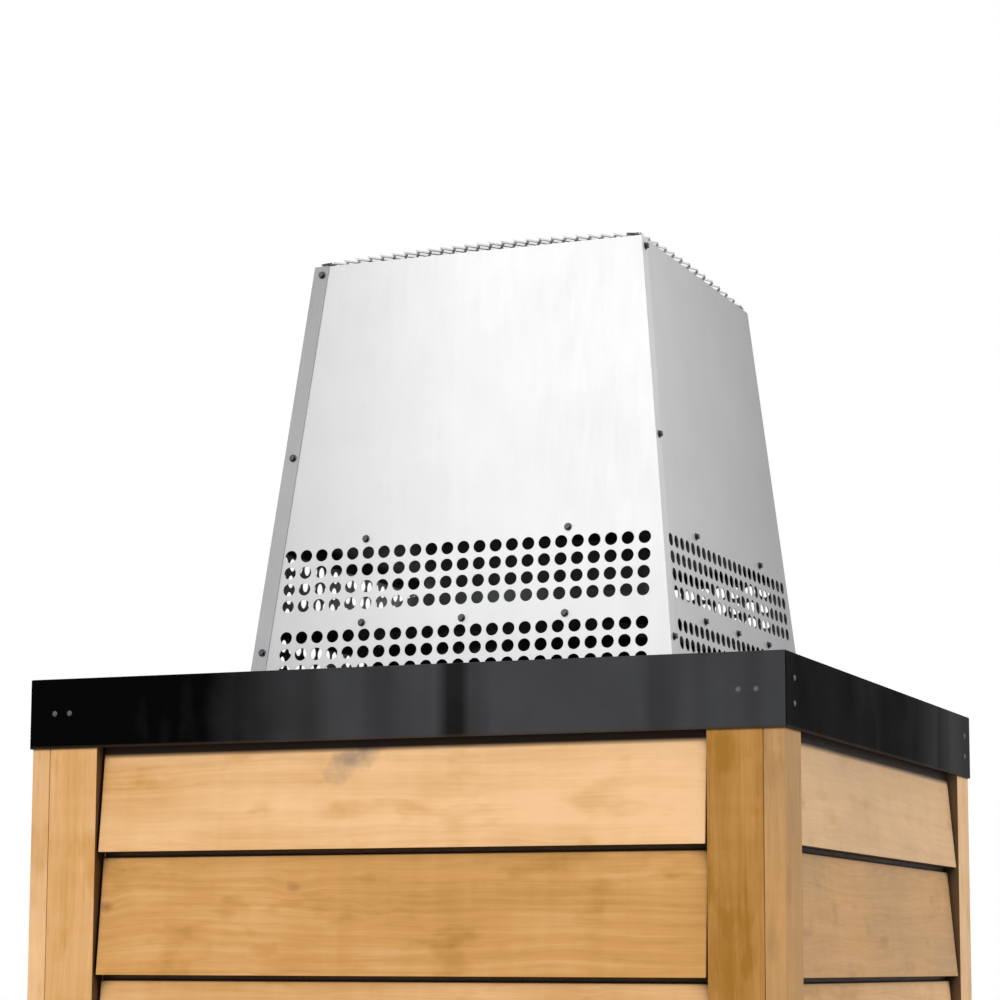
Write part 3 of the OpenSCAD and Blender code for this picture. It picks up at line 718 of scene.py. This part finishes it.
def on_outer_bend(edge):
    """Whether an edge lies on two of the cover's outer planes."""
    middle = (edge.verts[0].co + edge.verts[1].co) / 2
    outer = [abs(middle.x - COVER_LOW.x), abs(middle.x - COVER_HIGH.x),
             abs(middle.y - COVER_LOW.y), abs(middle.y - COVER_HIGH.y),
             abs(middle.z - COVER_HIGH.z)]
    return sum(gap < ON_PLANE for gap in outer) >= 2


class CHASE_OT_cover(bpy.types.Operator):
    """Make the black cover and finish its collar, rivets and storm collar"""

    bl_idname = "chase.cover"
    bl_label = "Chase Cover"

    def execute(self, context):
        sheet = context.scene.chase_sheet
        black = black_material()
        worn = steel_material("worn_rivet", sheet.rivet, 0.45, 0.6, FINE_BRUSHING)
        finish_nodes(nodes_in_slot("black_sheet"), black)
        finish_nodes(["cover_rivets"], worn)
        eased_copy("chase_cover", "_folded", black, sheet.fold, 3, on_outer_bend)
        return {"FINISHED"}


class CHASE_OT_hood(bpy.types.Operator):
    """Finish the hood's panels, partitions, baffle and screws"""

    bl_idname = "chase.hood"
    bl_label = "Termination Hood"

    def execute(self, context):
        sheet = context.scene.chase_sheet
        hood = steel_material("stainless_hood", sheet.hood, 0.52, 0.60, BRUSHED_UPWARDS)
        # Painted light and shade: a lighter front panel, and shade graded along the front, right
        # and left panels.
        low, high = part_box("front_hood_panel")
        start, end, *shades = FRONT_PAINTED_SHADING
        front = steel_material(
            "stainless_hood_front", sheet.bright, 0.57, 0.63, BRUSHED_UPWARDS,
            fade=("X", low.x * start, low.x * end, *shades))
        low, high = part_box("right_hood_panel")
        start, end, *shades = RIGHT_PAINTED_SHADING
        right = steel_material(
            "stainless_hood_right", sheet.hood, 0.52, 0.60, BRUSHED_UPWARDS,
            fade=("Y", low.y * start, high.y * end, *shades))
        low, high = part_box("left_hood_panel")
        start, end, *shades = LEFT_PAINTED_SHADING
        side = steel_material(
            "stainless_hood_side", sheet.hood, 0.52, 0.60, BRUSHED_UPWARDS,
            fade=("Z", low.z * start, high.z * end, *shades), shaded_flange=sheet.shaded_flange)
        # Painted shade: partitions, baffle and the rest of the inner sheet are near black.
        inner = steel_material("stainless_inner", sheet.inside, 0.50, 0.65, FINE_BRUSHING)
        screw = steel_material("screw_steel", sheet.screw, 0.35, 0.5, FINE_BRUSHING)
        washer = steel_material("plated_washer", sheet.clip, 0.4, 0.55, FINE_BRUSHING)
        panels = [name for name in nodes_in_slot("stainless_hood") if name.endswith("_panel")]
        finish_nodes(nodes_in_slot("stainless_hood"), inner)
        finish_nodes(panels, hood)
        finish_nodes(["front_hood_panel"], front)
        finish_nodes(["right_hood_panel"], right)
        finish_nodes(["left_hood_panel"], side)
        finish_nodes(["hood_screws"], screw)
        finish_nodes(["screen_clips"], washer)
        return {"FINISHED"}


class CHASE_OT_pipes(bpy.types.Operator):
    """Finish the chimney pipes, spacers, brackets and firestop"""

    bl_idname = "chase.pipes"
    bl_label = "Chimney Pipes"

    def execute(self, context):
        sheet = context.scene.chase_sheet
        # Painted shade: near black flue and zinc, for the shade inside the chase.
        flue = steel_material("stainless_flue", sheet.flue, 0.45, 0.6, BRUSHED_PIPE)
        zinc = steel_material(
            "galvanised_sheet", sheet.zinc, 0.45, 0.6, SPANGLED, SPANGLE_SIZE)
        finish_nodes(nodes_in_slot("stainless_flue"), flue)
        finish_nodes(nodes_in_slot("galvanised_sheet"), zinc)
        return {"FINISHED"}


# Spark screen ----------------------------------------------------------------


def zigzag_strand(mesh, screen, length):
    """One tilted strand that runs along Y and swings from bond to bond."""
    run = screen.along / 2
    swing = screen.across / 2
    legs = math.ceil(length / run) + 1
    profile = bmesh.ops.create_grid(mesh, x_segments=1, y_segments=1, size=0.5)["verts"]
    size = Matrix.Diagonal((screen.strand_w, screen.strand_t, 1.0, 1.0))
    upright = Matrix.Rotation(math.pi / 2, 4, "X")
    tilt = Matrix.Rotation(screen.tilt, 4, "Y")
    start = Matrix.Translation((-swing / 2, -legs * run / 2, 0))
    bmesh.ops.transform(mesh, matrix=start @ tilt @ upright @ size, verts=profile)
    face = profile[0].link_faces[0]
    for leg in range(legs):
        made = bmesh.ops.extrude_face_region(mesh, geom=[face])["geom"]
        face = next(g for g in made if isinstance(g, bmesh.types.BMFace))
        side = swing if leg % 2 == 0 else -swing
        bmesh.ops.translate(mesh, verts=list(face.verts), vec=(side, run, 0))


def everything(mesh):
    """All of a mesh's points, edges and faces."""
    return list(mesh.verts) + list(mesh.edges) + list(mesh.faces)


def only(kind, geometry):
    """What an operator gave back, of one kind."""
    return [g for g in geometry if isinstance(g, kind)]


def flat_mesh(mesh, screen, half):
    """Rows of strands over a square, cut off at its four sides."""
    zigzag_strand(mesh, screen, 2 * half)
    bmesh.ops.recalc_face_normals(mesh, faces=mesh.faces)
    first = everything(mesh)
    pitch = screen.across / 2
    count = int(half / pitch)
    for number in range(-count, count + 1):
        copied = bmesh.ops.duplicate(mesh, geom=first)["geom"]
        shift = screen.along / 2 if number % 2 else 0.0
        bmesh.ops.translate(
            mesh, verts=only(bmesh.types.BMVert, copied), vec=(number * pitch, shift, 0))
    bmesh.ops.delete(mesh, geom=only(bmesh.types.BMVert, first), context="VERTS")
    for axis in (Vector((1, 0, 0)), Vector((0, 1, 0))):
        for side in (-1, 1):
            cut = bmesh.ops.bisect_plane(
                mesh, geom=everything(mesh), plane_co=axis * side * half,
                plane_no=axis * side, clear_outer=True)["geom_cut"]
            bmesh.ops.holes_fill(mesh, edges=only(bmesh.types.BMEdge, cut), sides=8)


class CHASE_OT_screen(bpy.types.Operator):
    """Make the domed spark screen from expanded metal"""

    bl_idname = "chase.screen"
    bl_label = "Spark Screen"

    def execute(self, context):
        screen = context.scene.chase_screen
        low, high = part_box("spark_screen")
        middle = (low + high) / 2
        half = (high.x - low.x) / 2
        mesh = bmesh.new()
        flat_mesh(mesh, screen, half)
        strand_rise = screen.strand_w * math.sin(screen.tilt) / 2 + screen.strand_t
        rise = screen.dome * ((high.z - low.z) - 2 * strand_rise)
        # Dome it: highest in the middle, and down on the ledge at the four corners.
        for vertex in mesh.verts:
            share = (vertex.co.x ** 2 + vertex.co.y ** 2) / (2 * half * half)
            height = low.z + strand_rise + rise * (1 - share)
            vertex.co += Vector((middle.x, middle.y, height))
        wire = steel_material("expanded_metal", screen.colour, 0.45, 0.6, BRUSHED_WIRE)
        new_piece("spark_mesh", mesh, wire, "spark_screen")
        return {"FINISHED"}


# Stage -----------------------------------------------------------------------

# Where each lamp's light comes from, in degrees: to the right of the front, above level.
LAMPS = {"key": (-7, 32), "fill": (100, 35), "rear": (-135, 40)}
LAMP_WIDTH = math.radians(18)
# Distance from the chase at which the floor begins to fade, and at which it is white.
FLOOR_FADE = (0.8, 3.0)
FLOOR_SIDES = 96
SENSOR_WIDTH = 36.0


def sun(name, strength, turn, height):
    """A soft sun, given in degrees: to the right of the front, and above level."""
    data = bpy.data.lights.new(name, "SUN")
    data.energy = strength
    data.angle = LAMP_WIDTH
    made = bpy.data.objects.new(name, data)
    bpy.context.scene.collection.objects.link(made)
    turn = math.radians(turn)
    height = math.radians(height)
    away = Vector((math.sin(turn) * math.cos(height), -math.cos(turn) * math.cos(height),
                   math.sin(height)))
    made.rotation_mode = "QUATERNION"
    made.rotation_quaternion = away.to_track_quat("Z", "Y")


def seen_directly(tree):
    """1 for rays from the camera and for reflections, 0 for the light on the object."""
    path = tree.nodes.new("ShaderNodeLightPath").outputs
    seen = maths(tree, "MAXIMUM", path["Is Camera Ray"], path["Is Glossy Ray"])
    return maths(tree, "MAXIMUM", seen, path["Is Transmission Ray"])


def floor_material(stage):
    """Pale floor that fades into the white surroundings away from the chase."""
    material, tree, shader, coordinates = new_material("floor")
    place = coordinates["Object"]
    tint = spread(tree, noise(tree, place, 3.0), 0.985, 1.0)
    away = add(tree, "ShaderNodeVectorMath", {0: place}, operation="LENGTH").outputs["Value"]
    faded = maths(tree, "MULTIPLY", remap(tree, away, *FLOOR_FADE), seen_directly(tree))
    base = blend(tree, 1.0, rgba(stage.floor), tint, "MULTIPLY")
    black = (0.0, 0.0, 0.0, 1.0)
    white = (1.0, 1.0, 1.0, 1.0)
    tree.links.new(blend(tree, faded, base, black), shader.inputs["Base Color"])
    tree.links.new(blend(tree, faded, black, white), shader.inputs["Emission Color"])
    shader.inputs["Emission Strength"].default_value = 1.0
    shader.inputs["Roughness"].default_value = 0.9
    shader.inputs["Specular IOR Level"].default_value = 0.0
    return material


class CHASE_OT_stage(bpy.types.Operator):
    """Make the floor, the surroundings, the lamps and the camera"""

    bl_idname = "chase.stage"
    bl_label = "Stage"

    def execute(self, context):
        stage = context.scene.chase_stage
        mesh = bmesh.new()
        bmesh.ops.create_circle(
            mesh, cap_ends=True, segments=FLOOR_SIDES, radius=stage.floor_radius)
        data = bpy.data.meshes.new("floor")
        mesh.to_mesh(data)
        mesh.free()
        floor = bpy.data.objects.new("floor", data)
        context.scene.collection.objects.link(floor)
        finish_with(floor, floor_material(stage))

        world = bpy.data.worlds.new("surroundings")
        context.scene.world = world
        world.use_nodes = True
        tree = world.node_tree
        tree.nodes.clear()
        background = add(tree, "ShaderNodeBackground", {
            "Color": (1.0, 1.0, 1.0, 1.0),
            "Strength": remap(tree, seen_directly(tree), 0.0, 1.0, stage.ambient, 1.0)})
        output = tree.nodes.new("ShaderNodeOutputWorld")
        tree.links.new(background.outputs[0], output.inputs["Surface"])

        for name, (turn, height) in LAMPS.items():
            sun(name + "_light", getattr(stage, name), turn, height)

        lens = bpy.data.cameras.new("camera")
        lens.sensor_width = SENSOR_WIDTH
        lens.lens = stage.camera_lens
        lens.shift_y = stage.camera_rise
        camera = bpy.data.objects.new("camera", lens)
        context.scene.collection.objects.link(camera)
        place = Matrix.Translation((
            stage.camera_side, COVER_LOW.y - stage.camera_distance, stage.camera_height))
        camera.matrix_world = (
            place @ Matrix.Rotation(stage.camera_yaw, 4, "Z")
            @ Matrix.Rotation(math.pi / 2 + stage.camera_pitch, 4, "X")
            @ Matrix.Rotation(stage.camera_roll, 4, "Z"))
        context.scene.camera = camera
        context.scene.view_settings.view_transform = "Standard"
        return {"FINISHED"}


# Panel and registration ------------------------------------------------------

OPERATORS = (
    CHASE_OT_boards,
    CHASE_OT_framing,
    CHASE_OT_cover,
    CHASE_OT_hood,
    CHASE_OT_pipes,
    CHASE_OT_screen,
    CHASE_OT_stage,
)
SETTINGS = {
    "chase_cedar": CedarSettings,
    "chase_sheet": SheetSettings,
    "chase_screen": ScreenSettings,
    "chase_stage": StageSettings,
}


class CHASE_PT_looks(bpy.types.Panel):
    """Lists the pieces of the chimney chase"""

    bl_idname = "CHASE_PT_looks"
    bl_label = "Chimney Chase"
    bl_space_type = "VIEW_3D"
    bl_region_type = "UI"
    bl_category = "Chase"

    def draw(self, context):
        for name, group in SETTINGS.items():
            box = self.layout.box()
            for key in group.__annotations__:
                box.prop(getattr(context.scene, name), key)
        for operator in OPERATORS:
            self.layout.operator(operator.bl_idname)


def register():
    for group in SETTINGS.values():
        bpy.utils.register_class(group)
    for operator in OPERATORS:
        bpy.utils.register_class(operator)
    bpy.utils.register_class(CHASE_PT_looks)
    for name, group in SETTINGS.items():
        setattr(bpy.types.Scene, name, bpy.props.PointerProperty(type=group))


def unregister():
    for name in SETTINGS:
        delattr(bpy.types.Scene, name)
    bpy.utils.unregister_class(CHASE_PT_looks)
    for operator in reversed(OPERATORS):
        bpy.utils.unregister_class(operator)
    for group in reversed(tuple(SETTINGS.values())):
        bpy.utils.unregister_class(group)


def main():
    register()
    for operator in OPERATORS:
        name = operator.bl_idname.split(".")[1]
        if getattr(bpy.ops.chase, name)() != {"FINISHED"}:
            raise RuntimeError(operator.bl_label + " didn't finish")


if __name__ == "__main__":
    main()
